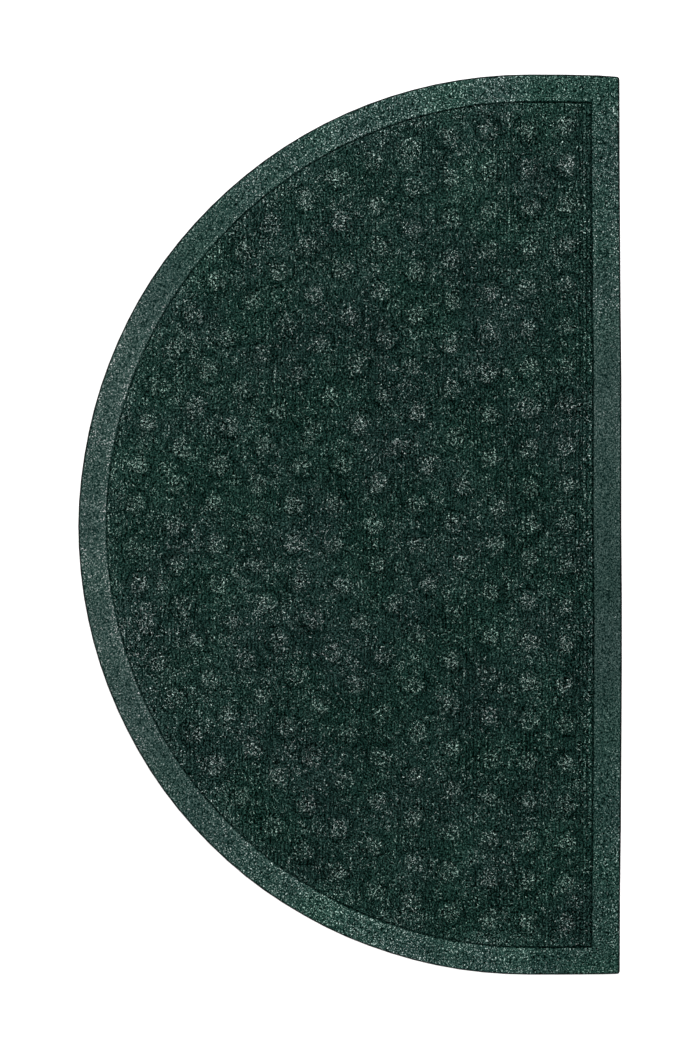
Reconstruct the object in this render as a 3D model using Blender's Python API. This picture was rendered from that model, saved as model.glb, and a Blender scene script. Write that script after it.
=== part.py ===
"""A half-round doormat: a ribbed felt face with raised dots, on a thin rubber backing.

Lengths are in metres and Z points up. X runs along the straight side, which
lies against the door sill at +Y. The rounded side faces -Y. The origin is
the middle of the mat's box, on the floor.

Plan points are worked out round the middle of the arc first, and are moved
to the mat's own origin when a piece is made.
"""

from itertools import pairwise
from math import cos, pi, radians, sin, sqrt

import bmesh
import bpy
from mathutils import Matrix
from mathutils.geometry import delaunay_2d_cdt

# Plan of the mat
ARC_RADIUS = 0.4964
STRAIGHT_STRETCH = 0.1012  # from the middle of the arc to the straight side
STRAIGHT_SIDE_SWELL = 0.0022  # how far the straight side bows out at its middle
CORNER_RADIUS = 0.0032
ARC_STEP = 3.0  # degrees from point to point round the arc
STRAIGHT_STEPS = 12
CORNER_STEPS = 3
END_POINTS_AT = (0.4, 0.75)  # shares of the straight stretch

# How far the cut edge strays from a true arc: angle from the middle of the
# rounded side in degrees, distance outwards
EDGE_WANDER = (
    (-90.0, -0.00045),
    (-60.0, -0.00025),
    (-45.0, -0.00035),
    (-33.0, 0.00005),
    (-20.0, -0.0004),
    (-10.0, -0.0005),
    (0.0, 0.0002),
    (24.0, 0.0005),
    (36.0, 0.0009),
    (50.0, 0.0006),
    (62.0, -0.00035),
    (74.0, -0.00125),
    (90.0, -0.0018),
)
# The same for the straight side: place along it, distance outwards
STRAIGHT_WANDER = (
    (-0.49, -0.0001),
    (-0.375, -0.0007),
    (-0.235, -0.0005),
    (-0.18, 0.0001),
    (-0.01, -0.0002),
    (0.12, 0.0006),
    (0.34, 0.0003),
    (0.42, -0.0002),
    (0.49, 0.0002),
)
# How far each short end leans in by the time it meets the straight side
END_LEAN = {-1: 0.0024, 1: 0.0007}

# Width of the pressed border: angle from the middle of the rounded side, width
BORDER_WIDTH = (
    (-90.0, 0.0299),
    (-42.0, 0.0308),
    (-14.0, 0.0298),
    (12.0, 0.0306),
    (48.0, 0.0307),
    (90.0, 0.0297),
)
STRAIGHT_BORDER_WIDTH = 0.0308

# Heights above the floor
RUBBER_THICKNESS = 0.0020
SEAT_GAP = 0.0003  # between the rubber and the felt that lies on it
CLOTH_UNDERSIDE = RUBBER_THICKNESS + SEAT_GAP
FIELD_HEIGHT = 0.0062
RIB_RELIEF = 0.0010  # from the bottom of a rib's furrow to its crest
DOT_SHOULDER_HEIGHT = 0.0090
DOT_TOP_HEIGHT = 0.0096

# Lines round the mat, from the rubber's edge and the felt's cut edge to the
# field: share of the border's width and distance in from the rubber's edge,
# height, corner radius
RUBBER_LINE = (0.0, 0.0, RUBBER_THICKNESS, CORNER_RADIUS)
BORDER_LINES = (
    (0.0, 0.0014, 0.0042, 0.0026),
    (0.0, 0.0036, 0.0054, 0.0022),
    (1.0, -0.0050, 0.0076, 0.0018),
    (1.0, -0.0012, 0.0072, 0.0015),
    (1.0, 0.0008, 0.0050, 0.0012),
)
FIELD_LINE = (1.0, 0.0032, FIELD_HEIGHT, 0.0010)

# Ribs run along X
RIB_REPEAT = 0.00833
FIRST_FURROW = 0.0040  # from the field's straight edge to the first furrow
LAST_FURROW = 0.0050  # from the last line to the field's rounded edge, at least

# Dots stand on half rings round the middle of the arc, and in one straight row
OUTER_RING_RADIUS = 0.4364
RING_COUNT = 10
RING_PITCH = 0.0440  # from ring to ring, and nearly so from dot to dot
ROW_OFFSET = 0.0402  # of the straight row, from the middle of the arc
ROW_PITCH = 0.0441
ROW_HALF_COUNT = 10
DOT_RADIUS = 0.0140
DOT_SHOULDER_RADIUS = 0.0092
DOT_SIDES = 8
GRAZE = 0.0010  # a rib line this near a dot's edge touches the dot at one point

MERGE = 1e-6
HALVINGS = 48
SMOOTH_UP_TO = radians(50.0)

# Finish of each piece: colour, roughness
FELT = ((0.0144, 0.0331, 0.0273), 0.95)
RUBBER = ((0.0060, 0.0062, 0.0062), 0.75)


def remove_objects():
    """Empties the scene."""
    for thing in list(bpy.data.objects):
        bpy.data.objects.remove(thing, do_unlink=True)


def material(name, colour, roughness):
    """A plain finish of one colour."""
    finish = bpy.data.materials.new(name)
    finish.use_nodes = True
    shader = finish.node_tree.nodes["Principled BSDF"]
    shader.inputs["Base Color"].default_value = (*colour, 1.0)
    shader.inputs["Roughness"].default_value = roughness
    shader.inputs["Metallic"].default_value = 0.0
    return finish


def eased(rows, at):
    """Value between the rows of a table of (place, value), eased from one row to the next."""
    if at <= rows[0][0]:
        return rows[0][1]
    for (start, before), (end, after) in pairwise(rows):
        if at <= end:
            share = (at - start) / (end - start)
            return before + (after - before) * (1 - cos(pi * share)) / 2
    return rows[-1][1]


def inset_at(angle, line):
    """How far a line round the mat lies in from the edge, at an angle on the rounded side."""
    return line[0] * eased(BORDER_WIDTH, angle) + line[1]


def arc_point(angle, line):
    """Point of a line round the mat, at an angle on the rounded side."""
    radius = ARC_RADIUS + eased(EDGE_WANDER, angle) - inset_at(angle, line)
    return radius * sin(radians(angle)), -radius * cos(radians(angle))


def end_point(side, y, line):
    """Point of a line round the mat on one short end, at a height y past the arc."""
    half = ARC_RADIUS + eased(EDGE_WANDER, 90.0 * side) - inset_at(90.0 * side, line)
    return side * (half - END_LEAN[side] * (y / STRAIGHT_STRETCH) ** 3), y


def straight_point(x, line):
    """Point of a line round the mat on the straight side."""
    inset = line[0] * STRAIGHT_BORDER_WIDTH + line[1]
    outwards = eased(STRAIGHT_WANDER, x) - STRAIGHT_SIDE_SWELL * (x / ARC_RADIUS) ** 2
    return x, STRAIGHT_STRETCH + outwards - inset


def corner_points(side, line):
    """Rounded corner of a line round the mat, from the short end to the straight side."""
    radius = line[3]
    x = end_point(side, STRAIGHT_STRETCH, line)[0]
    y = straight_point(x, line)[1]
    middle = x - side * radius, y - radius
    turns = [pi / 2 * step / CORNER_STEPS for step in range(CORNER_STEPS + 1)]
    return [(middle[0] + side * radius * cos(t), middle[1] + radius * sin(t)) for t in turns]


def ring(line, angles, rises):
    """Closed line round the mat, counter-clockwise from its -X end.

    angles are the places of its points on the rounded side, and rises the
    heights y of its points on both short ends.
    """
    right = corner_points(1, line)
    left = corner_points(-1, line)[::-1]
    along = (right[-1][0], left[0][0])
    steps = [along[0] + (along[1] - along[0]) * s / STRAIGHT_STEPS for s in range(1, STRAIGHT_STEPS)]
    points = [arc_point(angle, line) for angle in angles]
    points += [end_point(1, y, line) for y in rises if y < right[0][1]]
    points += right + [straight_point(x, line) for x in steps] + left
    points += [end_point(-1, y, line) for y in reversed(rises) if y < left[-1][1]]
    return points


def even_angles():
    """Angles of a plain line's points on the rounded side."""
    count = round(180.0 / ARC_STEP)
    return [-90.0 + 180.0 * step / count for step in range(count + 1)]


def end_rises():
    """Heights y of a plain line's points on a short end."""
    return [STRAIGHT_STRETCH * share for share in END_POINTS_AT]


def rubber_outline():
    """Cut edge of the rubber, which is the mat's own outline."""
    return ring(RUBBER_LINE, even_angles(), end_rises())


def mat_shift():
    """Move that brings the middle of the rubber's box to the origin."""
    outline = rubber_outline()
    across = [x for x, _ in outline]
    deep = [y for _, y in outline]
    return Matrix.Translation((-(min(across) + max(across)) / 2, -(min(deep) + max(deep)) / 2, 0.0))


def angle_at(side, y, line):
    """Angle on one half of the rounded side at which a line has the height y, by halving."""
    low, high = 0.0, 90.0
    for _ in range(HALVINGS):
        middle = (low + high) / 2
        if arc_point(side * middle, line)[1] < y:
            low = middle
        else:
            high = middle
    return side * low


def rib_lines():
    """Heights y of the furrows and crests, in turn, from the straight side."""
    start = straight_point(ARC_RADIUS, FIELD_LINE)[1] - FIRST_FURROW
    end = arc_point(0.0, FIELD_LINE)[1] + LAST_FURROW
    count = int((start - end) / (RIB_REPEAT / 2)) + 1
    return [start - step * RIB_REPEAT / 2 for step in range(count)]


def rib_height(y, lines):
    """Height of the ribbed field: straight slopes between furrows and crests."""
    place = (lines[0] - y) / RIB_REPEAT
    share = abs(place - round(place)) * 2
    return FIELD_HEIGHT + RIB_RELIEF * (share - 0.5)


def line_end(side, y):
    """Where a rib line meets the field's edge at one end."""
    if y >= 0:
        return end_point(side, y, FIELD_LINE)
    return arc_point(angle_at(side, y, FIELD_LINE), FIELD_LINE)


def field_ring(lines):
    """Edge of the field, with a point where each rib line meets it."""
    crossings = [angle_at(side, y, FIELD_LINE) for side in (-1, 1) for y in lines if y < 0]
    stops = sorted([-90.0, 0.0, 90.0, *crossings])
    angles = stops[:1]
    for before, after in pairwise(stops):
        steps = max(1, round((after - before) / ARC_STEP))
        angles += [before + (after - before) * step / steps for step in range(1, steps + 1)]
    rises = sorted(y for y in lines if y > MERGE)
    return ring(FIELD_LINE, angles, rises)


def dot_middles():
    """Middles of all dots: rings round the arc's middle, its middle, and the straight row."""
    middles = [(0.0, 0.0)]
    for number in range(RING_COUNT):
        radius = OUTER_RING_RADIUS - number * RING_PITCH
        steps = round(pi * radius / RING_PITCH)
        turns = [pi * (step / steps - 0.5) for step in range(steps + 1)]
        middles += [(radius * sin(turn), -radius * cos(turn)) for turn in turns]
    row = range(-ROW_HALF_COUNT, ROW_HALF_COUNT + 1)
    middles += [(ROW_PITCH * place, ROW_OFFSET) for place in row]
    return middles


def dot_reach(middle, y):
    """Half the width of a dot's foot on a rib line, 0 where the line only touches it."""
    off = abs(y - middle[1])
    return sqrt(DOT_RADIUS**2 - off**2) if off < DOT_RADIUS - GRAZE else 0.0


def dot_foot(middle, lines):
    """Closed outline of a dot's foot, with its points on the rib lines it covers."""
    near = [y for y in lines if abs(y - middle[1]) < DOT_RADIUS + GRAZE]
    crossed = sorted(y for y in near if dot_reach(middle, y))
    touched = [y for y in near if not dot_reach(middle, y)]
    low = next((y for y in touched if y < middle[1]), middle[1] - DOT_RADIUS)
    high = next((y for y in touched if y > middle[1]), middle[1] + DOT_RADIUS)
    right = [(middle[0] + dot_reach(middle, y), y) for y in crossed]
    left = [(middle[0] - dot_reach(middle, y), y) for y in reversed(crossed)]
    return [(middle[0], low), *right, (middle[0], high), *left]


def dot_shoulder(middle):
    """Closed outline of a dot where its side turns into its top."""
    turns = [2 * pi * (side + 0.5) / DOT_SIDES for side in range(DOT_SIDES)]
    return [
        (middle[0] + DOT_SHOULDER_RADIUS * cos(turn), middle[1] + DOT_SHOULDER_RADIUS * sin(turn))
        for turn in turns
    ]


class Plan:
    """Points with heights, and the edges that the surface through them keeps."""

    def __init__(self):
        self.points = []
        self.heights = []
        self.edges = []

    def add(self, points, heights, closed):
        """Adds a line of points, closed or open."""
        numbers = range(len(self.points), len(self.points) + len(points))
        self.points += points
        self.heights += heights
        self.edges += list(pairwise(numbers))
        if closed:
            self.edges.append((numbers[-1], numbers[0]))

    def triangles(self, outline):
        """Points with their heights, and the triangles inside the outline that join them."""
        flat, _, faces, sources, _, _ = delaunay_2d_cdt(self.points, self.edges, [outline], 1, MERGE)
        points = [(*place, self.heights[source[0]]) for place, source in zip(flat, sources)]
        return points, faces


def add_border(plan):
    """Lines of the border from the felt's cut edge to the furrow, and the cut edge's points."""
    for line in BORDER_LINES:
        points = ring(line, even_angles(), end_rises())
        plan.add(points, [line[2]] * len(points), closed=True)
    return list(range(len(points)))


def add_field_edge(plan, lines):
    """Line where the ribbed field starts, at the height of each rib that meets it."""
    points = field_ring(lines)
    plan.add(points, [rib_height(y, lines) for _, y in points], closed=True)


def add_ribs(plan, lines, middles):
    """Furrows and crests, broken where a dot stands."""
    for y in lines:
        height = rib_height(y, lines)
        crossed = sorted((m[0], dot_reach(m, y)) for m in middles if dot_reach(m, y))
        stops = [line_end(-1, y)[0]]
        for x, reach in crossed:
            stops += [x - reach, x + reach]
        stops.append(line_end(1, y)[0])
        for start, end in zip(stops[::2], stops[1::2]):
            plan.add([(start, y), (end, y)], [height, height], closed=False)


def add_dots(plan, lines, middles):
    """Raised dots: a foot on the ribs, a shoulder and a low crown."""
    for middle in middles:
        foot = dot_foot(middle, lines)
        plan.add(foot, [rib_height(y, lines) for _, y in foot], closed=True)
        plan.add(dot_shoulder(middle), [DOT_SHOULDER_HEIGHT] * DOT_SIDES, closed=True)
        plan.add([middle], [DOT_TOP_HEIGHT], closed=False)


def place_piece(name, mesh_data, finish):
    """Puts a finished mesh into the scene as one named piece."""
    bmesh.ops.recalc_face_normals(mesh_data, faces=mesh_data.faces)
    bmesh.ops.transform(mesh_data, matrix=mat_shift(), verts=mesh_data.verts)
    mesh = bpy.data.meshes.new(name)
    mesh_data.to_mesh(mesh)
    mesh_data.free()
    mesh.materials.append(finish)
    mesh.shade_smooth()
    mesh.set_sharp_from_angle(angle=SMOOTH_UP_TO)
    piece = bpy.data.objects.new(name, mesh)
    bpy.context.scene.collection.objects.link(piece)
    return piece


def rubber_backing():
    """Thin rubber sheet on the floor, which shows as a dark rim round the felt."""
    sheet = bmesh.new()
    corners = [sheet.verts.new((x, y, 0.0)) for x, y in rubber_outline()]
    sheet.faces.new(corners)
    raised = bmesh.ops.extrude_face_region(sheet, geom=sheet.faces[:])
    lifted = [part for part in raised["geom"] if isinstance(part, bmesh.types.BMVert)]
    bmesh.ops.translate(sheet, vec=(0.0, 0.0, RUBBER_THICKNESS), verts=lifted)
    return place_piece("rubber_backing", sheet, material("rubber", *RUBBER))


def carpet_face():
    """Moulded felt: a pressed border, a furrow, and a ribbed field with raised dots."""
    lines = rib_lines()
    middles = dot_middles()
    plan = Plan()
    cut_edge = add_border(plan)
    add_field_edge(plan, lines)
    add_ribs(plan, lines, middles)
    add_dots(plan, lines, middles)
    points, faces = plan.triangles(cut_edge)

    felt = bmesh.new()
    corners = [felt.verts.new(point) for point in points]
    for face in faces:
        felt.faces.new([corners[number] for number in face])
    rim = [edge for edge in felt.edges if edge.is_boundary]
    skirt = bmesh.ops.extrude_edge_only(felt, edges=rim)["geom"]
    for part in skirt:
        if isinstance(part, bmesh.types.BMVert):
            part.co.z = CLOTH_UNDERSIDE
    hem = [part for part in skirt if isinstance(part, bmesh.types.BMEdge) and part.is_boundary]
    bmesh.ops.triangle_fill(felt, edges=hem, use_beauty=True)
    return place_piece("carpet_face", felt, material("felt", *FELT))


def main():
    """Builds the mat."""
    remove_objects()
    rubber_backing()
    carpet_face()


main()
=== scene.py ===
# %% [markdown]
# # A half-round doormat
#
# The mat is one piece of needle felt on a thin sheet of rubber. The felt has
# a pressed border, a narrow furrow inside it, and a ribbed field with round
# raised dots. This file dresses the measured solids: it opens them as a fixed
# frame, works out the felt as one fine surface over them, lays loose fibres on
# it, and gives the felt and the rubber their finishes.

import bpy
import numpy as np
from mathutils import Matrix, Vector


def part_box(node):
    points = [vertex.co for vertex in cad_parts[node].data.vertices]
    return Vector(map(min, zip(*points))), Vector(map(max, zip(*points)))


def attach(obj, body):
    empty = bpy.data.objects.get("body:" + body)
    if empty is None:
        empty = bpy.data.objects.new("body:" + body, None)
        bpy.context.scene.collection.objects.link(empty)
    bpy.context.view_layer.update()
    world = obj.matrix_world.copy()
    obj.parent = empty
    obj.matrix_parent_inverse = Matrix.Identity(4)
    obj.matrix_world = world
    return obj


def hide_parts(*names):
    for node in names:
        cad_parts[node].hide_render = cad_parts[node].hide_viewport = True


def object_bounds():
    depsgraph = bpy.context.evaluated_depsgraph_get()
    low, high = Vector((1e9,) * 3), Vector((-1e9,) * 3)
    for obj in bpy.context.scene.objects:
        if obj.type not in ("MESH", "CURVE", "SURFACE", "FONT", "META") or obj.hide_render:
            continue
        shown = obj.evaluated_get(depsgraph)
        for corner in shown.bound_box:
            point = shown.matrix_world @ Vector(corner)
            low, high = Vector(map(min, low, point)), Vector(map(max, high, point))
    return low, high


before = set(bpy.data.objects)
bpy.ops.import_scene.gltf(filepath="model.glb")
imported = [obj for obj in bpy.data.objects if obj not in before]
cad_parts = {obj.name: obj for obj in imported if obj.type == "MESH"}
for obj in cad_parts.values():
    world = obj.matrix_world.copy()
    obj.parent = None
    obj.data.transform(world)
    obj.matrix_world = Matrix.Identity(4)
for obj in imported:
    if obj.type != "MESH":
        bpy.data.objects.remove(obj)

cad_low, cad_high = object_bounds()
print("solids measure", [round(size * 1000, 1) for size in cad_high - cad_low], "mm")

# %% [markdown]
# ## The plan of the mat
#
# Everything is placed from the same few sizes as the solids. The arc's middle
# is found from the rubber's box, so the felt lands where the solids are. An
# eased table, whose value glides from one row to the next, holds what changes
# slowly round the edge: how far the cut strays from a true arc, and how wide
# the border is.

# %% Sizes of the plan, in metres and degrees
MM = 0.001
ARC_RADIUS = 0.4964
STRAIGHT_STRETCH = 0.1012
STRAIGHT_SIDE_SWELL = 0.0022
END_LEAN = {-1: 0.0024, 1: 0.0007}
CORNER_RADIUS = 0.0032
EDGE_WANDER = np.array([
    [-90, -0.45], [-60, -0.25], [-45, -0.35], [-33, 0.05], [-20, -0.4], [-10, -0.5], [0, 0.2],
    [24, 0.5], [36, 0.9], [50, 0.6], [62, -0.35], [74, -1.25], [90, -1.8],
])
STRAIGHT_WANDER = np.array([
    [-0.49, -0.1], [-0.375, -0.7], [-0.235, -0.5], [-0.18, 0.1], [-0.01, -0.2],
    [0.12, 0.6], [0.34, 0.3], [0.42, -0.2], [0.49, 0.2],
])
BORDER_WIDTH = np.array([[-90, 31.0], [-42, 31.9], [-14, 30.8], [12, 31.6], [48, 31.8], [90, 30.9]])
STRAIGHT_BORDER_WIDTH = 0.0316


def eased(rows, at):
    """Value of a table of (place, millimetres) at each place, in metres.

    Between two rows the share s of the way becomes (1 - cos(pi s)) / 2.
    """
    at = np.clip(at, rows[0, 0], rows[-1, 0])
    row = np.clip(np.searchsorted(rows[:, 0], at, side="right") - 1, 0, len(rows) - 2)
    start, before = rows[row, 0], rows[row, 1]
    end, after = rows[row + 1, 0], rows[row + 1, 1]
    share = (1 - np.cos(np.pi * (at - start) / (end - start))) / 2
    return (before + (after - before) * share) * MM


# %% [markdown]
# ## Lines round the mat
#
# A moulded border is easiest to make as a set of closed lines, each a little
# further in from the edge than the last. A line is given by its share of the
# border's width, a fixed distance and the radius of its corners. All lines
# have their points at the same stations, so a point on one line meets a point
# on the next and the band between them is a grid.

# %% One closed line at all its stations
CORNER_TURNS = np.radians([0, 30, 60, 90])


def arc_points(angle, line):
    """Points of a line on the rounded side: radius times (sin, -cos) of the angle."""
    inset = line[0] * eased(BORDER_WIDTH, angle) + line[1]
    radius = ARC_RADIUS + eased(EDGE_WANDER, angle) - inset
    turn = np.radians(angle)
    return np.stack([radius * np.sin(turn), -radius * np.cos(turn)], -1)


def end_x(side, y, line):
    """Half length of a line at height y on one short end: it leans in by the cube of y."""
    inset = line[0] * eased(BORDER_WIDTH, 90.0 * side) + line[1]
    half = ARC_RADIUS + eased(EDGE_WANDER, 90.0 * side) - inset
    return side * (half - END_LEAN[side] * (y / STRAIGHT_STRETCH) ** 3)


def straight_y(x, line):
    """Height of a line on the straight side: a flat bow that falls with x squared, and a wander."""
    inset = line[0] * STRAIGHT_BORDER_WIDTH + line[1]
    outwards = eased(STRAIGHT_WANDER, x) - STRAIGHT_SIDE_SWELL * (x / ARC_RADIUS) ** 2
    return STRAIGHT_STRETCH + outwards - inset


def corner_middle(side, line):
    """Middle of the quarter circle that rounds a line's corner."""
    x = end_x(side, STRAIGHT_STRETCH, line)
    return x - side * line[2], straight_y(x, line) - line[2]


def corner_points(side, line):
    """Quarter circle from the short end, at turn 0, to the straight side."""
    x, y = corner_middle(side, line)
    across = x + side * line[2] * np.cos(CORNER_TURNS)
    return np.stack([across, y + line[2] * np.sin(CORNER_TURNS)], -1)


def whole_line(line, angles, rises, shares):
    """A closed line, counter-clockwise: arc, right end and corner, straight side, left corner and end.

    rises are shares of each short end's height, and shares run from 1 to -1 along the straight side.
    """
    parts = [arc_points(angles, line)]
    for side in (1, -1):
        x, y = corner_middle(side, line)
        up = rises * y
        end = np.stack([end_x(side, up, line), up], -1)
        corner = corner_points(side, line)
        if side == 1:
            along = shares * x
            parts += [end, corner, np.stack([along, straight_y(along, line)], -1)]
        else:
            parts += [corner[::-1], end[::-1]]
    return np.concatenate(parts)


# %% [markdown]
# The mat's edge is the first of these lines. Its box and the rubber's box
# share a middle, which says where the middle of the arc lies in the frame.

# %% Where the middle of the arc lies
EDGE_LINE = (0.0, 0.0, CORNER_RADIUS)
edge = whole_line(EDGE_LINE, np.arange(-90.0, 90.5), np.linspace(0, 1, 20), np.linspace(1, -1, 90))
rubber_low, rubber_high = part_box("rubber_backing")
rubber_middle = np.array((rubber_low + rubber_high)[:2]) / 2
ARC_X, ARC_Y = rubber_middle - (edge.min(0) + edge.max(0)) / 2
print("edge measures", (np.ptp(edge, 0) / MM).round(1), "mm, the rubber", rubber_high - rubber_low)
print("middle of the arc at", round(ARC_X / MM, 2), round(ARC_Y / MM, 2), "mm")

# %% [markdown]
# ## The felt's height
#
# Seen as a landscape, the felt is a height for every place on the plan. The
# border is a cross-section that follows the distance from the edge. The ribs
# are a cross-section that follows y, with a deep and a shallow furrow in turn.
# The dots are low domes. Soft lumps, from random heights on a coarse lattice,
# keep it from looking machined. The same height places the mesh and, later,
# every loose fibre.

# %% Soft lumps
LATTICE = (97, 89)


def lumps(x, y, cell, seed):
    """Smooth random heights from -1 to 1: lattice values joined by the curve s * s * (3 - 2 s)."""
    table = np.random.default_rng(seed).uniform(-1, 1, LATTICE)
    column, row = np.floor(x / cell), np.floor(y / cell)
    s, t = x / cell - column, y / cell - row
    s, t = s * s * (3 - 2 * s), t * t * (3 - 2 * t)
    left, below = column.astype(int) % LATTICE[0], row.astype(int) % LATTICE[1]
    right, above = (left + 1) % LATTICE[0], (below + 1) % LATTICE[1]
    low = table[left, below] * (1 - s) + table[right, below] * s
    high = table[left, above] * (1 - s) + table[right, above] * s
    return low * (1 - t) + high * t


# %% Where the dots stand
OUTER_RING_RADIUS = 0.4364
RING_COUNT = 10
RING_PITCH = 0.0440
RING_SHIFT = np.array([-0.0007, -0.0012])
RING_SHRINK = np.array([0.9978, 0.9925])
ROW_OFFSET = 0.0402
ROW_SHIFT = -0.0012
ROW_PITCH = 0.0438
ROW_HALF_COUNT = 10
DOT_RADIUS = 0.0143
DOT_STRAY = 0.0009


def dot_middles(rng):
    """Half rings round the arc's middle, one dot in that middle, and one straight row.

    The rings are a little smaller and off the middle, as in the photograph, and each dot strays.
    """
    rings = [np.zeros((1, 2))]
    for radius in OUTER_RING_RADIUS - RING_PITCH * np.arange(RING_COUNT):
        turn = np.linspace(-np.pi / 2, np.pi / 2, round(np.pi * radius / RING_PITCH) + 1)
        rings.append(np.stack([radius * np.sin(turn), -radius * np.cos(turn)], -1))
    rings = np.concatenate(rings) * RING_SHRINK + RING_SHIFT
    place = np.arange(-ROW_HALF_COUNT, ROW_HALF_COUNT + 1)
    row = np.stack([ROW_SHIFT + ROW_PITCH * place, np.full(len(place), ROW_OFFSET)], -1)
    middles = np.concatenate([rings, row])
    return middles + rng.normal(0, DOT_STRAY, middles.shape)


dot_rng = np.random.default_rng(11)
DOTS = dot_middles(dot_rng)
print(len(DOTS), "dots")

# %% [markdown]
# No two dots of moulded felt are quite alike, so each gets its own small
# change of size and of height, drawn once from a seeded generator.

# %% How high a dot stands at each place
DOT_RISE = 3.4 * MM
DOT_STEEPNESS = 3.0
DOT_REACH = 1.7 * DOT_RADIUS
RIB_PUSH = 0.18
HOLLOW_DEPTH = 0.4 * MM
HOLLOW_START = (12.4 * MM, 14.6 * MM)
HOLLOW_END = (15.8 * MM, 18.6 * MM)
dot_size = dot_rng.uniform(0.95, 1.06, len(DOTS))
dot_height = dot_rng.uniform(0.86, 1.0, len(DOTS))


def smooth(value, low, high):
    """0 below low, 1 above high, and s * s * (3 - 2 s) between."""
    s = np.clip((value - low) / (high - low), 0, 1)
    return s * s * (3 - 2 * s)


def near_dots(x, y):
    """At each place the share of a dot's rise, the push on the ribs, and the way to the dot's middle.

    With d the distance from the dot's middle over its radius, 1 - d^3 gives a
    flat top, and p * p * (3 - 2 p) of that softens the foot. The push grows
    with the distance from the dot's middle line and fades out beyond its foot.
    """
    share, push, away = np.zeros(len(x)), np.zeros(len(x)), np.full(len(x), DOT_REACH)
    for (mx, my), size, height in zip(DOTS, dot_size, dot_height):
        near = np.flatnonzero((np.abs(x - mx) < DOT_REACH) & (np.abs(y - my) < DOT_REACH))
        d = np.hypot(x[near] - mx, y[near] - my) / (DOT_RADIUS * size)
        p = np.clip(1 - d**DOT_STEEPNESS, 0, 1)
        share[near] = np.maximum(share[near], height * p * p * (3 - 2 * p))
        push[near] += RIB_PUSH * (y[near] - my) * (1 - smooth(d, 0.6, 1.5))
        away[near] = np.minimum(away[near], d * DOT_RADIUS)
    return share, push, away


def hollow(away):
    """1 in the hollow round a dot's foot, and 0 on the dot and out in the field."""
    return smooth(away, *HOLLOW_START) * (1 - smooth(away, *HOLLOW_END))


# %% Ribs across the mat
RIB_REPEAT = 8.29 * MM
RIB_OFFSETS = np.array([0.0, 2.99, 4.14, 6.04, 7.16]) * MM
RIB_HEIGHTS = np.array([0.32, -0.62, 0.30, 0.35, -0.74]) * MM
RIB_STRAY = 0.45 * MM
FIELD_INSET = 1.8 * MM
FIRST_CREST = 0.7 * MM
field_line = (1.0, FIELD_INSET, 1.0 * MM)
first_row = straight_y(ARC_RADIUS, field_line) - FIRST_CREST


def rib_height(y):
    """Height of the ribs: straight slopes between a repeat's furrows and crests, down from the first."""
    offsets = np.append(RIB_OFFSETS, RIB_REPEAT)
    heights = np.append(RIB_HEIGHTS, RIB_HEIGHTS[0])
    return np.interp((first_row - y) % RIB_REPEAT, offsets, heights)


def ribs_aside(x, y):
    """How far a rib lies from its straight line at each place: pushed by a dot, and straying."""
    return near_dots(x, y)[1] + RIB_STRAY * lumps(x, y, 37 * MM, 6)


# %% [markdown]
# The border's cross-section is written once, for a border 28 mm wide. Where
# the real border is narrower or wider, only its flat middle shrinks or grows.

# %% Cross-section of the border, and the whole felt
SECTION_WIDTH = 28.0 * MM
SECTION_AT = np.array([1.4, 1.6, 2.2, 3.6, 6.0, 14.0, 23.0, 26.4, 27.2, 27.7, 28.1, 28.7, 29.2, 29.8]) * MM
SECTION_HEIGHT = np.array([3.9, 4.4, 4.9, 5.4, 5.7, 6.6, 7.45, 7.65, 7.5, 6.8, 5.1, 4.9, 5.9, 6.2]) * MM
RIM_LOW, RIM_HIGH, RIM_BACK, FLAT_AT = SECTION_AT[1:5]
CREST_AT, BROW_AT, DROP_AT, FLOOR_START, FLOOR_END, SLOPE_AT, FIELD_AT = SECTION_AT[-7:]
CREST_WIDTH = 5.0 * MM
FIELD_HEIGHT = 6.2 * MM


def on_section(inset, width):
    """Place on the 28 mm cross-section: rim and crest keep their size, and the middle is stretched."""
    stretch = (SECTION_WIDTH - CREST_WIDTH - RIM_BACK) / (width - CREST_WIDTH - RIM_BACK)
    middle = RIM_BACK + (inset - RIM_BACK) * stretch
    inner = SECTION_WIDTH + inset - width
    return np.where(inset < RIM_BACK, inset, np.where(inset > width - CREST_WIDTH, inner, middle))


def section_place(x, y):
    """Place of each point on the border's cross-section, the smaller of the two at a mitred corner."""
    side = np.where(x < 0, -1, 1)
    angle = np.where(y < 0, np.degrees(np.arctan2(x, -y)), 90.0 * side)
    lean = np.where(x < 0, END_LEAN[-1], END_LEAN[1]) * (np.maximum(y, 0) / STRAIGHT_STRETCH) ** 3
    out = np.where(y < 0, np.hypot(x, y), np.abs(x))
    round_inset = ARC_RADIUS + eased(EDGE_WANDER, angle) - lean - out
    straight_inset = straight_y(x, (0, 0)) - y
    round_place = on_section(round_inset, eased(BORDER_WIDTH, angle))
    return np.minimum(round_place, on_section(straight_inset, STRAIGHT_BORDER_WIDTH))


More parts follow.
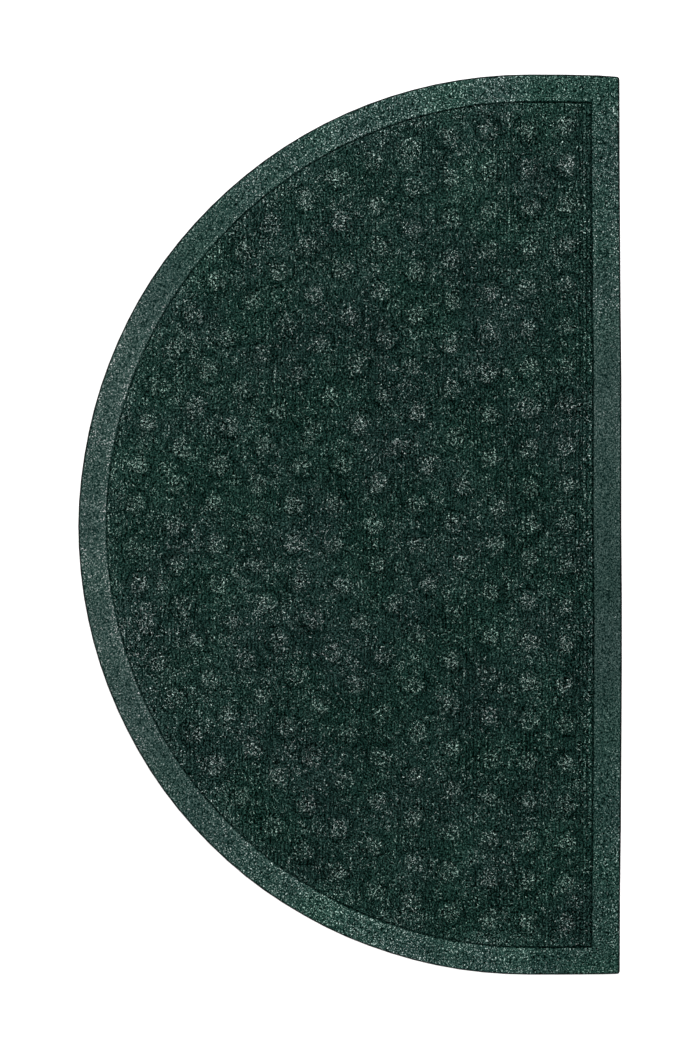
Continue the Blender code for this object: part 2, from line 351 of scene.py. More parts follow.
def felt_height(x, y):
    """Height of the felt: the border's section outside the furrow, ribs, dots and lumps inside it."""
    place = section_place(x, y)
    inside = smooth(place, FLOOR_END, FIELD_AT)
    dot, _, away = near_dots(x, y)
    ribs = rib_height(y - ribs_aside(x, y)) * (0.8 + 0.35 * lumps(x, y, 41 * MM, 5))
    field = FIELD_HEIGHT + ribs * (1 - 0.80 * dot) + DOT_RISE * dot - HOLLOW_DEPTH * hollow(away)
    field += 0.22 * MM * lumps(x, y, 3.1 * MM, 1) + 0.24 * MM * lumps(x, y, 7.3 * MM, 2) * (0.4 + dot)
    border = np.interp(place, SECTION_AT, SECTION_HEIGHT)
    pressed = smooth(place, RIM_HIGH, FLAT_AT)
    border += pressed * (0.14 * MM * lumps(x, y, 2.6 * MM, 3) + 0.14 * MM * lumps(x, y, 19 * MM, 4))
    return border * (1 - inside) + field * inside


# %% [markdown]
# ## The felt as one closed mesh
#
# The field is a grid: rows run along every furrow and crest, so the ribs stay
# sharp, and columns cross them at an even step. Rows end on the field's line,
# and the band between two rows is closed at each end by one many-sided face
# that follows the line. The border's lines have their stations where the rows
# end. That keeps the triangles where the shape is, and leaves no gap anywhere.

# %% Rows, columns and the stations of the lines
COLUMN_STEP = 2.95 * MM
LONGEST_STEP = 3.6 * MM
END_MARGIN = 0.9 * MM
LAST_ROW_MARGIN = 1.2 * MM
HALVINGS = 40
apex = arc_points(0.0, field_line)[1]
repeats = np.arange(0, int((first_row - apex) / RIB_REPEAT) + 1)
rows = (first_row - repeats[:, None] * RIB_REPEAT - RIB_OFFSETS).ravel()
rows = rows[rows > apex + LAST_ROW_MARGIN]


def angle_at(side, y):
    """Angle at which the field's line has each height y, found by halving."""
    low, high = np.zeros(len(y)), np.full(len(y), 90.0)
    for _ in range(HALVINGS):
        middle = (low + high) / 2
        below = arc_points(side * middle, field_line)[:, 1] < y
        low, high = np.where(below, middle, low), np.where(below, high, middle)
    return side * low


round_rows = rows[rows < 0]
end_rows = rows[rows >= 0]
row_angles = {side: angle_at(side, round_rows) for side in (-1, 1)}
angles = np.sort(np.concatenate([row_angles[-1], row_angles[1]]))
longest = np.degrees(LONGEST_STEP / ARC_RADIUS)
while np.diff(angles).max() > longest:
    wide = np.flatnonzero(np.diff(angles) > longest)
    angles = np.sort(np.append(angles, (angles[wide] + angles[wide + 1]) / 2))
rises = end_rows[::-1] / corner_middle(1, field_line)[1]
last_column = int((corner_middle(1, field_line)[0] - END_MARGIN) / COLUMN_STEP)
straight_columns = np.arange(last_column, -last_column - 1, -1)
shares = straight_columns * COLUMN_STEP / corner_middle(1, field_line)[0]
print(len(rows), "rows,", 2 * last_column + 1, "columns,", len(angles), "stations on the arc")

# %% [markdown]
# The two corners of the field lie at slightly different heights, because one
# end leans in more than the other. The rows' heights are turned into shares of
# the right corner's, and the small difference on the left is taken up there.

# %% Numbers of the field's vertices
LINES = (
    (0.0, 1.4 * MM, 2.6 * MM),
    (0.0, 1.6 * MM, 2.5 * MM),
    (0.0, 2.2 * MM, 2.4 * MM),
    (0.0, 3.6 * MM, 2.2 * MM),
    (0.5, -4.2 * MM, 2.0 * MM),
    (1.0, -9.0 * MM, 1.8 * MM),
    (1.0, -3.6 * MM, 1.6 * MM),
    (1.0, -1.3 * MM, 1.5 * MM),
    (1.0, -0.5 * MM, 1.4 * MM),
    (1.0, 0.1 * MM, 1.3 * MM),
    (1.0, 0.7 * MM, 1.2 * MM),
    (1.0, 1.2 * MM, 1.1 * MM),
    field_line,
)
bands = [whole_line(line, angles, rises, shares) for line in LINES]
STATIONS = len(bands[0])
arc_count, end_count, turn_count = len(angles), len(rises), len(CORNER_TURNS)
straight_start = arc_count + end_count + turn_count
left_end_start = STATIONS - end_count


def row_station(row, side):
    """Number of the station at which a row ends, on the arc or on a short end."""
    if rows[row] < 0:
        return int(np.argmin(np.abs(angles - row_angles[side][row - end_count])))
    return arc_count + end_count - 1 - row if side == 1 else left_end_start + row


SPARE_COLUMNS = 3
columns = np.arange(-last_column - SPARE_COLUMNS, last_column + SPARE_COLUMNS + 1)
grid = np.full((len(rows) + 1, len(columns)), -1)
straight_slots = straight_columns - columns[0]
grid[0, straight_slots] = straight_start + np.arange(len(straight_columns))
field_points = []
count = STATIONS
for row, y in enumerate(rows):
    left = bands[-1][row_station(row, -1), 0] + END_MARGIN
    right = bands[-1][row_station(row, 1), 0] - END_MARGIN
    slots = np.flatnonzero((columns * COLUMN_STEP > left) & (columns * COLUMN_STEP < right))
    grid[row + 1, slots] = count + np.arange(len(slots))
    x = columns[slots] * COLUMN_STEP
    field_points.append(np.stack([x, np.full(len(x), y)], -1))
    count += len(slots)
print(count - STATIONS, "points in the field,", STATIONS, "on each line")

# %% [markdown]
# Every cell of the grid whose four corners exist is a square face. What is
# left at the two ends of each band, and under the last row, becomes a
# many-sided face, walked round counter-clockwise so that it faces up.

# %% Faces of the field
whole = (grid[:-1, :-1] >= 0) & (grid[:-1, 1:] >= 0) & (grid[1:, :-1] >= 0) & (grid[1:, 1:] >= 0)
cells = np.stack([grid[1:, :-1], grid[1:, 1:], grid[:-1, 1:], grid[:-1, :-1]], -1)[whole]


def stations_between(start, end):
    """Stations from one to another, counter-clockwise, both included."""
    return (start + np.arange((end - start) % STATIONS + 1)) % STATIONS


def end_faces():
    """The many-sided face at each end of each band between two rows, and the one under the last row."""
    faces = []
    for band in range(len(rows)):
        upper, lower = np.flatnonzero(grid[band] >= 0), np.flatnonzero(grid[band + 1] >= 0)
        left, right = max(upper[0], lower[0]), min(upper[-1], lower[-1])
        top = {side: row_station(band - 1, side) for side in (-1, 1)} if band else None
        left_from = top[-1] if band else straight_start + len(straight_columns)
        right_to = top[1] if band else straight_start - 1
        walk = [grid[band, left : upper[0] - 1 : -1] if upper[0] else grid[band, left::-1]]
        walk += [stations_between(left_from, row_station(band, -1)), grid[band + 1, lower[0] : left + 1]]
        faces.append(np.concatenate(walk).tolist())
        walk = [grid[band + 1, right : lower[-1] + 1], stations_between(row_station(band, 1), right_to)]
        walk += [grid[band, upper[-1] : right - 1 : -1]]
        faces.append(np.concatenate(walk).tolist())
    last = grid[-1][grid[-1] >= 0][::-1]
    around = stations_between(row_station(len(rows) - 1, -1), row_station(len(rows) - 1, 1))
    return faces + [np.concatenate([last, around]).tolist()]


# %% [markdown]
# The border's lines become bands of squares, the cut edge drops straight down
# to the underside, and one flat face closes the felt below. The rows are first
# pushed aside by the dots. How far depends on where a row ends up, so the push
# is worked out a few times over, each time at the place that the last one gave.

# %% Faces of the border and of the underside
FELT_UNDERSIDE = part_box("carpet_face")[0].z
PUSH_ROUNDS = 4


def band_faces(outer, inner):
    """Squares between two closed lines whose first vertices are outer and inner."""
    here = np.arange(STATIONS)
    after = (here + 1) % STATIONS
    return np.stack([outer + here, outer + after, inner + after, inner + here], -1)


plan = np.concatenate([bands[-1], *field_points, *bands[:-1]])
pushed = slice(STATIONS, count)
straight_rows = plan[pushed, 1].copy()
for _ in range(PUSH_ROUNDS):
    plan[pushed, 1] = straight_rows + ribs_aside(*plan[pushed].T)
heights = felt_height(plan[:, 0], plan[:, 1])
line_start = [count + STATIONS * number for number in range(len(LINES) - 1)] + [0]
under_start = len(plan)
points = np.concatenate([
    np.column_stack([plan, heights]),
    np.column_stack([bands[0], np.full(STATIONS, FELT_UNDERSIDE)]),
])
points[:, :2] += (ARC_X, ARC_Y)
faces = np.concatenate(
    [cells]
    + [band_faces(outer, inner) for outer, inner in zip(line_start, line_start[1:])]
    + [band_faces(under_start, line_start[0])]
).tolist()
faces += end_faces()
faces.append((under_start + np.arange(STATIONS))[::-1].tolist())
print(len(points), "points and", len(faces), "faces in the felt")

# %% [markdown]
# ## Putting a surface into Blender
#
# One helper turns points and faces into an object. It shades it smooth but
# for sharp folds, stores any numbers that the finish will read at each point,
# and prints the count of triangles and the volume. A positive volume says that
# the faces point outwards and the mesh is closed.


# %% Make one piece
SHARP_FROM = np.radians(60.0)


def make_piece(name, points, faces, finish, numbers):
    """An object from points and faces, with its numbers for each point, riding on the mat."""
    mesh = bpy.data.meshes.new(name)
    mesh.from_pydata(points, [], faces)
    mesh.shade_smooth()
    mesh.set_sharp_from_angle(angle=SHARP_FROM)
    for label, values in numbers.items():
        mesh.attributes.new(label, "FLOAT", "POINT").data.foreach_set("value", values.astype(np.float32))
    mesh.materials.append(finish)
    piece = bpy.data.objects.new(name, mesh)
    bpy.context.scene.collection.objects.link(piece)
    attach(piece, "root")
    mesh.calc_loop_triangles()
    corners = np.empty(len(mesh.loop_triangles) * 3, np.int32)
    mesh.loop_triangles.foreach_get("vertices", corners)
    a, b, c = np.asarray(points)[corners.reshape(-1, 3)].transpose(1, 0, 2)
    volume = np.einsum("ij,ij->", a, np.cross(b, c)) / 6
    print(name, len(mesh.loop_triangles), "triangles,", round(volume * 1e6, 1), "cubic cm")
    return piece


def bake_map(piece, corners):
    """Gives a piece the map on which its finish can be painted, one place for each face corner."""
    piece.data.uv_layers.new(name="OFBake").data.foreach_set("uv", corners.astype(np.float32).ravel())


# %% [markdown]
# ## Writing a finish as sums
#
# A finish is a network of small nodes. Written out one by one they hide what
# they do, so a thin wrapper lets the numbers of a material be added and
# multiplied as in Python, and each sign adds its own node.


# %% Numbers of a material that can be added and multiplied
class Number:
    """One number of a finish, which may change over the surface."""

    def __init__(self, finish, socket):
        self.finish, self.socket = finish, socket

    def sum_with(self, operation, first, second):
        return self.finish.add("ShaderNodeMath", {"operation": operation}, {0: first, 1: second})

    def __add__(self, other):
        return self.sum_with("ADD", self, other)

    def __sub__(self, other):
        return self.sum_with("SUBTRACT", self, other)

    def __rsub__(self, other):
        return self.sum_with("SUBTRACT", other, self)

    def __mul__(self, other):
        return self.sum_with("MULTIPLY", self, other)

    def larger(self, other):
        return self.sum_with("MAXIMUM", self, other)

    def between(self, low, high):
        """0 below low and 1 above high, with a soft start and end."""
        settings = {"interpolation_type": "SMOOTHSTEP"}
        return self.finish.add("ShaderNodeMapRange", settings, {"Value": self, 1: low, 2: high})

    __radd__, __rmul__ = __add__, __mul__


class Finish:
    """A material that is built up node by node."""

    def __init__(self, name):
        self.material = bpy.data.materials.new(name)
        self.material.use_nodes = True
        self.tree = self.material.node_tree
        self.shader = self.tree.nodes["Principled BSDF"]
        self.place = self.add("ShaderNodeTexCoord", {}, {}, "Object")

    def link(self, socket, value):
        """Puts a number, a colour or another node's result into a socket."""
        if isinstance(value, Number):
            self.tree.links.new(value.socket, socket)
        else:
            socket.default_value = value

    def add(self, kind, settings, sockets, result=0):
        """Adds one node: its settings first, then its sockets, and gives one of its results."""
        node = self.tree.nodes.new(kind)
        for name, value in settings.items():
            setattr(node, name, value)
        for name, value in sockets.items():
            self.link(node.inputs[name], value)
        return Number(self, node.outputs[result])

    def surface(self, **sockets):
        """Sets sockets of the shader, with _ for a space in their names."""
        for name, value in sockets.items():
            self.link(self.shader.inputs[name.replace("_", " ")], value)

    def stored(self, label):
        """A number that the mesh holds at each point."""
        return self.add("ShaderNodeAttribute", {"attribute_name": label}, {}, "Fac")

    def noise(self, scale, detail, place=None):
        """Cloudy pattern with about scale blobs a metre."""
        sockets = {"Vector": place or self.place, "Scale": scale, "Detail": detail}
        return self.add("ShaderNodeTexNoise", {}, sockets, "Fac")

    def mix(self, share, first, second, blend="MIX"):
        """Colour between two colours."""
        settings = {"data_type": "RGBA", "blend_type": blend}
        return self.add("ShaderNodeMix", settings, {0: share, 6: first, 7: second}, 2)

    def bump(self, height, distance, strength=1.0, under=None):
        """Normal of a surface raised by a pattern, over an earlier one."""
        sockets = {"Height": height, "Distance": distance, "Strength": strength}
        if under is not None:
            sockets["Normal"] = under
        return self.add("ShaderNodeBump", {}, sockets, "Normal")


def opaque(red, green, blue):
    """A colour with full opacity."""
    return (red, green, blue, 1.0)


# %% [markdown]
# ## The felt's finish
#
# Needle felt is a mat of coarse fibres that lie in all directions. From above
# they show as short streaks, light where one lies on top and dark between
# them. Where a cloudy noise passes through its middle value it draws a thin
# winding line, like a strand. Layers of such lines at several sizes, each
# brighter in some places than in others, make the matted look. One number,
# the tone, says how light a spot is, and one scale of greens turns it into a
# colour, so that felt and loose fibres always match.


# %% Scale of greens, from the depth of a furrow to a bright fibre
SCALE = (
    (0.00, (0.0001, 0.0008, 0.0005)),
    (0.25, (0.0018, 0.0088, 0.0071)),
    (0.50, (0.0098, 0.0280, 0.0238)),
    (0.70, (0.0240, 0.0530, 0.0450)),
    (0.85, (0.0630, 0.1130, 0.0990)),
    (1.00, (0.5200, 0.6200, 0.5900)),
)
GREENER, GREYER = opaque(0.88, 1.03, 0.95), opaque(1.04, 0.99, 1.015)
WORN = opaque(1.26, 0.97, 1.03)


def felt_colour(finish, tone, worn=0.0):
    """Colour of a tone from 0 to 1, drifting between greener and greyer, and greyer still where worn."""
    ramp = finish.tree.nodes.new("ShaderNodeValToRGB")
    stops = ramp.color_ramp.elements
    while len(stops) < len(SCALE):
        stops.new(0.5)
    for stop, (at, colour) in zip(stops, SCALE):
        stop.position, stop.color = at, (*colour, 1.0)
    finish.link(ramp.inputs["Fac"], tone)
    tint = finish.mix(finish.noise(11.0, 1.0).between(0.3, 0.7), GREENER, GREYER)
    tint = finish.mix(worn, tint, WORN)
    return finish.mix(1.0, Number(finish, ramp.outputs["Color"]), tint, "MULTIPLY")


# %% Strands of matted fibre
STRAND_LAYERS = ((210.0, 0.050, 0.0), (340.0, 0.070, 3.1), (540.0, 0.090, 7.7))


def strands(finish):
    """Largest of several layers of thin lines, 1 on a line and 0 away from it.

    A line is where noise is 0.5, and falls off with the distance |noise - 0.5|
    over the layer's width. A second noise dims each line along its length.
    """
    found = None
    for scale, width, shift in STRAND_LAYERS:
        aside = {0: finish.place, 1: (shift, shift, shift)}
        moved = finish.add("ShaderNodeVectorMath", {"operation": "ADD"}, aside)
        from_middle = finish.noise(scale, 1.0, moved) - 0.5
        off_line = finish.add("ShaderNodeMath", {"operation": "ABSOLUTE"}, {0: from_middle})
        line = (1 - off_line * (1 / width)).between(0.0, 1.0)
        layer = line * finish.noise(scale * 1.3, 0.0, moved).between(0.40, 0.66)
        found = layer if found is None else found.larger(layer)
    return found


# %% From the felt's numbers to its finish
LOOSE_TONE, PRESSED_TONE = 0.389, 0.60


def felt_finish():
    """Dark green felt: strands, grain and dark pits, loose in the field and pressed on the border.

    A tone starts from its ground tone and each pattern adds its share: loose
    felt shows more of them the livelier a place is, pressed felt the coarser.
    """
    finish = Finish("needle_felt")
    labels = ("raised", "pressed", "furrow", "coarse", "pale_and_sheen", "lively")
    raised, pressed, furrow, coarse, pale_and_sheen, lively = (finish.stored(label) for label in labels)
    strand = strands(finish)
    grain = finish.noise(660.0, 1.0).between(0.40, 0.62)
    pits = finish.noise(520.0, 0.0).between(0.52, 0.62)
    cloud = finish.noise(26.0, 2.0).between(0.3, 0.7)
    lines = (0.18 + 0.27 * lively) * strand
    flecks = (0.40 + 0.28 * lively) * (grain - 0.5) - (0.42 + 0.18 * lively) * pits
    # Painted shade darkens the loose felt in the furrows and hollows, and a stored shift makes it lighter
    # in places.
    loose = LOOSE_TONE + (lines + flecks) - 0.06 * lively + 0.06 * cloud + 0.06 * pale_and_sheen - 0.16 * furrow
    speckle = (0.38 * grain - 0.15 - 0.40 * pits) * (0.52 + 0.48 * coarse)
    flat = PRESSED_TONE + speckle + (0.28 * strand - 0.13) * coarse + 0.05 * cloud
    # Painted shade darkens the pressed felt's groove and outer rim, and painted sheen lightens the arc's
    # middle; the crest and the lip are lighter too.
    flat = flat + 0.07 * (raised + pale_and_sheen) - 0.34 * furrow
    tone = loose + pressed * (flat - loose)
    worn = pressed * (1.25 - 1.25 * coarse)
    finish.surface(Base_Color=felt_colour(finish, tone, worn), Roughness=0.95 - 0.10 * pressed)
    fine = finish.bump(grain, 0.30 * MM)
    finish.surface(Normal=finish.bump(strand, 0.45 * MM, 0.8, fine))
    finish.shader.inputs["Specular IOR Level"].default_value = 0.0
    return finish.material


# %% [markdown]
# People step over the middle of the straight side and of the rounded side
# most, so the border is smooth there, and towards the corners it is as coarse
# as new. In the field the dots are full of pale flecks, and the felt between
# them is calm, with painted shade in the furrows and the hollows round the dots.
# On the border a painted sheen lightens the middle of the arc.


# %% How coarse and how pale the felt is from place to place
def coarseness(x, y):
    """How coarse the border is: 0.4 or 0.45 at the middle of a side, and 1 towards the corners."""
    straight = 0.4 + 0.6 * smooth(np.abs(x), 0.12, 0.40)
    return np.where(y > 0, straight, 0.45 + 0.55 * smooth(np.abs(x), 0.20, 0.45))


def sheen_and_paleness(x, y, place):
    """Shift of tone: in the field lighter along the border's inside, towards one end and towards the arc's
    middle.

    On the border it is painted sheen: up on the arc's middle, and down on the straight side, which is
    duller than the rest but for a stretch before one end.
    """
    by_border = (1 - smooth(place, 29.0 * MM, 54.0 * MM)) * np.where(y > 0.05, 0.4, 0.8)
    field = by_border + 0.85 * smooth(-x, 0.20, 0.42) + 0.55 * smooth(-y, 0.20, 0.42)
    dull = 0.7 * smooth(x, -0.08, 0.06) + 0.3 * smooth(x, 0.28, 0.40) + 0.6 * smooth(-x, 0.28, 0.38)
    # Painted sheen on the border: lighter on the arc's middle, and on the straight side lighter in one
    # stretch before an end and duller elsewhere.
    border = 0.9 * smooth(-y, 0.36, 0.46) + (y > 0) * (0.2 - dull)
    return np.where(place > FLOOR_END, field, border)


def liveliness(x, y, away):
    """How flecked a place of the field is, from 0 to 1: most on a dot, less and uneven between dots."""
    patches = 0.42 + 0.35 * lumps(x, y, 9 * MM, 12)
    return np.clip(np.maximum(patches, 1 - smooth(away, 6.8 * MM, 14.2 * MM)), 0, 1)


def painted_shade(x, y, away):
    """Painted shade in the field: dark in a rib's furrow and in the hollow round a dot, unevenly."""
    between_ribs = smooth(-rib_height(y - ribs_aside(x, y)), -0.1 * MM, 0.7 * MM)
    between_ribs *= 0.8 + 0.9 * lumps(x, y, 34 * MM, 9) + 1.1 * smooth(y, 0.042, 0.056)
    return between_ribs + hollow(away) * (0.50 + 0.9 * lumps(x, y, 12 * MM, 8))


# %% Lay the felt on the rubber
TOP_START, TOP_SPAN = np.array([0.004, 0.084]), np.array([0.992, 0.912])
UNDER_START, UNDER_SPAN = np.array([0.004, 0.004]), np.array([0.5, 0.05])
WALL_START, WALL_SPAN = np.array([0.51, 0.01]), np.array([0.48, 0.05])
WALL_LEAN = 0.05


def top_map(mesh):
    """Map of the felt seen from above, with its cut edge and underside small beside it.

    The top fills the map but for a strip. The underside is the same plan, shrunk into that strip.
    """
    corner_count = len(mesh.loops)
    vertex = np.empty(corner_count, np.int32)
    mesh.loops.foreach_get("vertex_index", vertex)
    size = np.ptp(plan, 0)
    spot = (points[:, :2] - (ARC_X, ARC_Y) - plan.min(0)) / size
    top, under = TOP_START + TOP_SPAN * spot, UNDER_START + UNDER_SPAN * spot
    starts = np.empty(len(mesh.polygons), np.int32)
    mesh.polygons.foreach_get("loop_start", starts)
    face_of = np.searchsorted(starts, np.arange(corner_count), side="right") - 1
    normals = np.empty(len(mesh.polygons) * 3, np.float32)
    mesh.polygons.foreach_get("normal", normals)
    facing = normals.reshape(-1, 3)[face_of, 2]
    corners = np.where((facing > WALL_LEAN)[:, None], top[vertex], under[vertex])
    wall = np.abs(facing) <= WALL_LEAN
    along = (vertex[wall] % STATIONS) / STATIONS
    rise = np.where(vertex[wall] >= under_start, 0.0, 1.0)
    corners[wall] = WALL_START + WALL_SPAN * np.column_stack([along, rise])
    return corners


x, y = plan.T
place = section_place(x, y)
away = near_dots(x, y)[2]
in_field = smooth(place, FLOOR_END, FIELD_AT)
# Painted shade in the border's groove, stronger on the straight side.
groove = smooth(place, BROW_AT, DROP_AT) * (1 - in_field) * np.where(y > 0, 1.1, 0.6)
rim = 1 - smooth(place, RIM_LOW, RIM_HIGH)
crest = smooth(place, 21.0 * MM, 26.0 * MM) * (1 - smooth(place, 27.0 * MM, 28.0 * MM))
crest *= np.where(y > 0, 0.4, 1.0)
lip = smooth(place, 2.2 * MM, 3.0 * MM) * (1 - smooth(place, 4.0 * MM, 6.0 * MM))
top_numbers = {
    "raised": crest + 0.5 * lip,
    "pressed": 1 - smooth(place, BROW_AT, FLOOR_START),
    # The stored furrow is painted shade: in the groove, in the field's furrows and round the dots' feet,
    # and darker along the outer rim.
    "furrow": np.maximum(np.maximum(1.2 * groove, painted_shade(x, y, away) * in_field), 0.9 * rim),
    "coarse": coarseness(x, y),
    "pale_and_sheen": sheen_and_paleness(x, y, place),
    "lively": liveliness(x, y, away),
}
numbers = {label: np.append(values, np.zeros(STATIONS)) for label, values in top_numbers.items()}
carpet = make_piece("carpet_face_felt", points, faces, felt_finish(), numbers)
bake_map(carpet, top_map(carpet.data))
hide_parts("carpet_face")

# %% [markdown]
# ## Loose fibres
#
# The felt's surface is not smooth: short stiff fibres lie on it in all
# directions, thickest and palest on the dots. Each is a thin spindle of five
# points: a tip, a small triangle at its thickest place, and a tip. The
# triangle stands a little aside and above the line between the tips, which
# bends the fibre, and the tips dip into the felt. All fibres of one batch are
# one mesh, worked out as whole arrays. As a fibre's section is a triangle, its
# corners lie CORNER_OUT times its width from its middle line.

# %% A fibre and its faces
FIBRE_ALONG = np.array([-0.5, 0.0, 0.0, 0.0, 0.5])
FIBRE_TURN = np.radians([0, 90, 210, 330, 0])
FIBRE_THICK = np.array([0.0, 1.0, 1.0, 1.0, 0.0])
FIBRE_FACES = np.array([(0, 2, 1), (0, 3, 2), (0, 1, 3), (4, 1, 2), (4, 2, 3), (4, 3, 1)])
CORNER_OUT = 0.58
TIP_SUNK = 0.22 * MM
SPINE_ENDS = (-0.5, 0.0, 0.5)


def fibre_points(x, y, heading, length, width, bend, arch, lift):
    """Points of all fibres, each on the felt's height under its two tips and its middle.

    The middle is moved aside by the bend and up by the arch, one tip is sunk and the other lifted.
    """
    cos, sin = np.cos(heading)[:, None], np.sin(heading)[:, None]
    along = FIBRE_ALONG * length[:, None]
    aside = FIBRE_THICK * (bend[:, None] + CORNER_OUT * width[:, None] * np.cos(FIBRE_TURN))
    across, up = length * cos[:, 0], length * sin[:, 0]
    spine = [felt_height(x + end * across, y + end * up) for end in SPINE_ENDS]
    ground = np.stack(spine, 1)[:, [0, 1, 1, 1, 2]]
    above = FIBRE_THICK * (arch[:, None] + CORNER_OUT * width[:, None] * np.sin(FIBRE_TURN))
    above[:, 0] = -TIP_SUNK
    above[:, -1] = lift - TIP_SUNK
    px = x[:, None] + along * cos - aside * sin + ARC_X
    return np.stack([px, y[:, None] + along * sin + aside * cos + ARC_Y, ground + above], -1)


# %% [markdown]
# The fibres' finish reads one stored number, the fibre's own tone. Few are
# pale, which is what makes felt look flecked and not grey.


# %% Finish of the fibres
def fibre_finish():
    """Coarse fibre whose colour follows its own tone."""
    finish = Finish("loose_fibre")
    finish.surface(Base_Color=felt_colour(finish, finish.stored("tone")), Roughness=0.7)
    finish.shader.inputs["Specular IOR Level"].default_value = 0.1
    return finish.material


# %% Where fibres lie, and how thick they are sown
FIBRE_COUNT = 132_000
TRIES_A_FIBRE = 5
EDGE_CLEAR = 2.0 * MM
rng = np.random.default_rng(5)
tries = FIBRE_COUNT * TRIES_A_FIBRE
x = rng.uniform(-ARC_RADIUS, ARC_RADIUS, tries)
y = rng.uniform(-ARC_RADIUS, STRAIGHT_STRETCH, tries)
place = section_place(x, y)
away = near_dots(x, y)[2]
raised = 1 - smooth(away, 7.6 * MM, 14.0 * MM) - 0.5 * hollow(away)
in_groove = (place > CREST_AT) & (place < SLOPE_AT)
on_border = place <= CREST_AT
coarse = coarseness(x, y)
lively = liveliness(x, y, away)
thickness = np.where(on_border, 0.45 * coarse, 0.35 + 0.60 * lively)
thickness[in_groove | (place < EDGE_CLEAR)] = 0
chosen = np.flatnonzero(rng.random(tries) < thickness)[:FIBRE_COUNT]
x, y, place, away, raised, on_border, coarse, lively = (
    values[chosen] for values in (x, y, place, away, raised, on_border, coarse, lively)
)
print(len(chosen), "fibres,", on_border.sum(), "of them on the border")

# %% Size and tone of each fibre
FIBRE_LENGTH, FIBRE_WIDTH, FIBRE_ARCH = (2.0, 4.6), (0.34, 0.62), (0.05, 0.45)
BORDER_FIBRE_TONE, FIELD_FIBRE_TONE = 0.54, 0.315
PALE_TONE = (0.80, 1.0)
count = len(x)
heading = rng.uniform(0, 2 * np.pi, count)
length = rng.uniform(*FIBRE_LENGTH, count) * MM * np.where(on_border, 0.8, 1.0)
width = rng.uniform(*FIBRE_WIDTH, count) * MM
bend = rng.normal(0, 0.09, count) * length
free = np.where(on_border, 0.2, 0.6 + 0.6 * raised)
arch, lift = rng.uniform(*FIBRE_ARCH, (2, count)) * MM * free
# Fibres in the field share the felt's tone shift and its painted shade in the furrows and hollows.
field_tone = FIELD_FIBRE_TONE + 0.06 * sheen_and_paleness(x, y, place) - 0.10 * painted_shade(x, y, away)
middle_tone = np.where(on_border, BORDER_FIBRE_TONE, field_tone)
tone = middle_tone + rng.normal(0, np.where(on_border, 0.21 * coarse, 0.17 + 0.10 * lively))
pale = rng.random(count) < np.where(on_border, 0.10 * coarse, 0.03 + 0.16 * lively)
tone = np.clip(np.where(pale, rng.uniform(*PALE_TONE, count), tone), 0.02, 1.0)
all_points = fibre_points(x, y, heading, length, width, bend, arch, lift)

# %% [markdown]
# For a picture of the finish in another program, each fibre has a tile of its
# own on the batch's map. The fibres are put in order of tone, so that a tile
# always lies next to one that looks like it and nothing bleeds.

# %% A tile of the map for each fibre
TILE_CORNERS = np.array([
    [(0.1, 0.1), (0.5, 0.5), (0.1, 0.5)],
    [(0.1, 0.9), (0.5, 0.5), (0.1, 0.5)],
    [(0.1, 0.1), (0.5, 0.1), (0.5, 0.5)],
    [(0.9, 0.9), (0.5, 0.5), (0.9, 0.5)],
    [(0.9, 0.1), (0.5, 0.5), (0.9, 0.5)],
    [(0.9, 0.1), (0.5, 0.1), (0.5, 0.5)],
])


def tile_map(tiles):
    """Places on the map of every corner of every fibre's faces, tile after tile in square rows."""
    side = int(np.ceil(np.sqrt(tiles)))
    number = np.arange(tiles)
    corner = np.stack([number % side, number // side], -1)[:, None, None]
    return ((TILE_CORNERS + corner) / side).reshape(-1, 2)


# %% One mesh for each batch
BATCHES = 4
FIBRE = fibre_finish()
for batch in range(BATCHES):
    picked = np.arange(batch, count, BATCHES)
    picked = picked[np.argsort(tone[picked])]
    first_point = len(FIBRE_ALONG) * np.arange(len(picked))
    batch_faces = (FIBRE_FACES + first_point[:, None, None]).reshape(-1, 3).tolist()
    batch_tone = {"tone": np.repeat(tone[picked], len(FIBRE_ALONG))}
    batch_points = all_points[picked].reshape(-1, 3)
    piece = make_piece(f"loose_fibres_{batch + 1}", batch_points, batch_faces, FIBRE, batch_tone)
    bake_map(piece, tile_map(len(picked)))

# %% [markdown]
# ## What the felt was cut from
#
# The felt is a sheet that lies flat on its rubber. It was cut as a half round
# from a piece as long and as deep as its box.


# %% [markdown]
# ## The rubber
#
# The rubber's solid already has its true shape, a thin slab whose edge shows
# as a dark rim. It only needs its finish: a matt black with the faint cloudy
# bloom and pebbled skin of pressed rubber.

# %% Finish of the rubber
BLACK, BLOOMED = opaque(0.0045, 0.0050, 0.0050), opaque(0.010, 0.011, 0.011)


def rubber_finish():
    """Matt black rubber with a pebbled skin and a faint bloom."""
    finish = Finish("pressed_rubber")
    bloom = finish.noise(30.0, 3.0)
    pebble = finish.noise(600.0, 2.0)
    colour = finish.mix(bloom.between(0.35, 0.75), BLACK, BLOOMED)
    finish.surface(Base_Color=colour, Roughness=0.62 + 0.25 * bloom)
    finish.surface(Normal=finish.bump(pebble, 0.15 * MM))
    finish.shader.inputs["Specular IOR Level"].default_value = 0.12
    return finish.material


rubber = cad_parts["rubber_backing"]
rubber.material_slots[0].material = rubber_finish()

# %% [markdown]
# ## Floor, light and camera
#
# The photograph looks straight down on the mat against white. Two broad soft
# lights stand off the mat's long ends, the left one stronger, so the dots near
# each end are brighter on their outer side. A weaker one stands off the
# straight side, and a pale sky fills in.


# %% Floor and light
LIGHT_HEIGHT, LIGHT_WIDTH = 1.6, 1.2
SKY_STRENGTH = 0.73


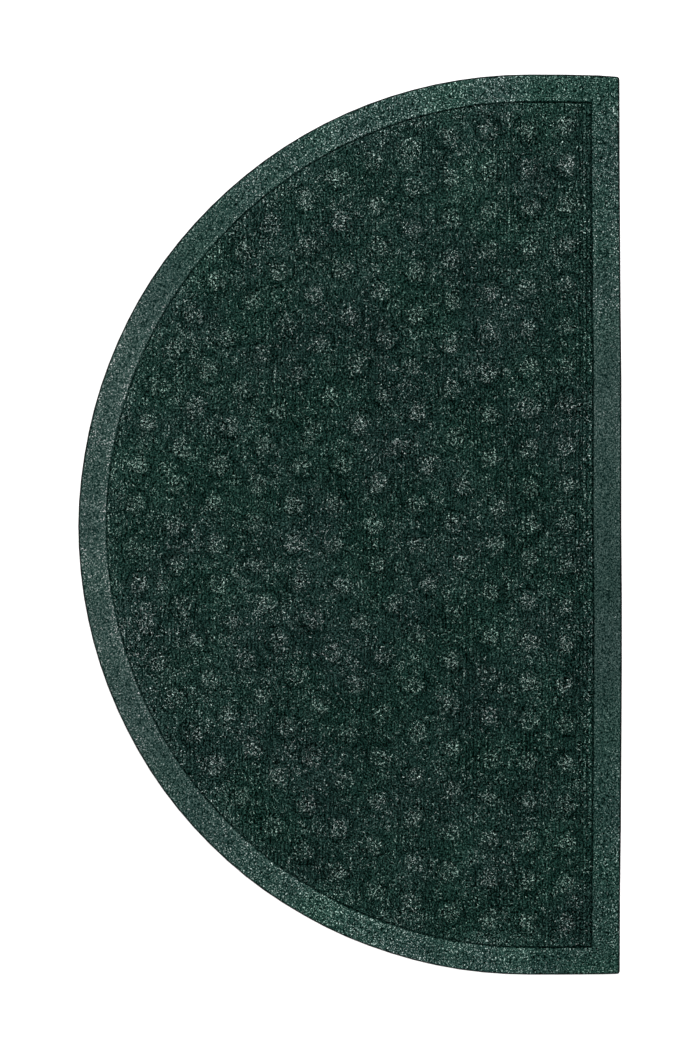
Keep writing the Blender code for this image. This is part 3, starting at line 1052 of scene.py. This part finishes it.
def stage_floor():
    """A wide pale floor just under the mat."""
    mesh = bpy.data.meshes.new("floor")
    size, drop = 12.0, -0.0004
    corners = [(-size, -size, drop), (size, -size, drop), (size, size, drop), (-size, size, drop)]
    mesh.from_pydata(corners, [], [(0, 1, 2, 3)])
    finish = Finish("pale_floor")
    finish.surface(Base_Color=opaque(0.86, 0.86, 0.86), Roughness=0.9)
    mesh.materials.append(finish.material)
    floor = bpy.data.objects.new("floor", mesh)
    bpy.context.scene.collection.objects.link(floor)


def soft_light(name, x, y, power):
    """A square soft light that looks at the mat's middle."""
    data = bpy.data.lights.new(name, "AREA")
    data.shape, data.size, data.energy = "SQUARE", LIGHT_WIDTH, power
    light = bpy.data.objects.new(name, data)
    light.location = (x, y, LIGHT_HEIGHT)
    light.rotation_euler = (-light.location).to_track_quat("-Z", "Y").to_euler()
    bpy.context.scene.collection.objects.link(light)


stage_floor()
soft_light("end_light_left", -2.0, 0.0, 77.0)
soft_light("end_light_right", 2.0, 0.0, 51.0)
soft_light("side_light", 0.2, 2.0, 9.0)
world = bpy.data.worlds.new("pale_sky")
world.use_nodes = True
world.node_tree.nodes["Background"].inputs["Color"].default_value = (1.0, 1.0, 1.0, 1.0)
world.node_tree.nodes["Background"].inputs["Strength"].default_value = SKY_STRENGTH
bpy.context.scene.world = world
bpy.context.scene.view_settings.view_transform = "Standard"

# %% [markdown]
# The camera hangs over the mat's middle. The straight side is on the right of
# the picture, so the picture's right is +Y and its top is -X.

# %% Camera
FRAME_HEIGHT_M = 1.1552
LENS, SENSOR = 85.0, 36.0
CAMERA_SHIFT = (0.0005, -0.0001)
camera_data = bpy.data.cameras.new("camera")
camera_data.lens, camera_data.sensor_width = LENS, SENSOR
camera = bpy.data.objects.new("camera", camera_data)
middle = (cad_low + cad_high) / 2
camera_height = rubber_high.z + FRAME_HEIGHT_M * LENS / SENSOR
camera.location = (middle.x + CAMERA_SHIFT[0], middle.y + CAMERA_SHIFT[1], camera_height)
camera.rotation_euler = (0.0, 0.0, np.pi / 2)
bpy.context.scene.collection.objects.link(camera)
bpy.context.scene.camera = camera
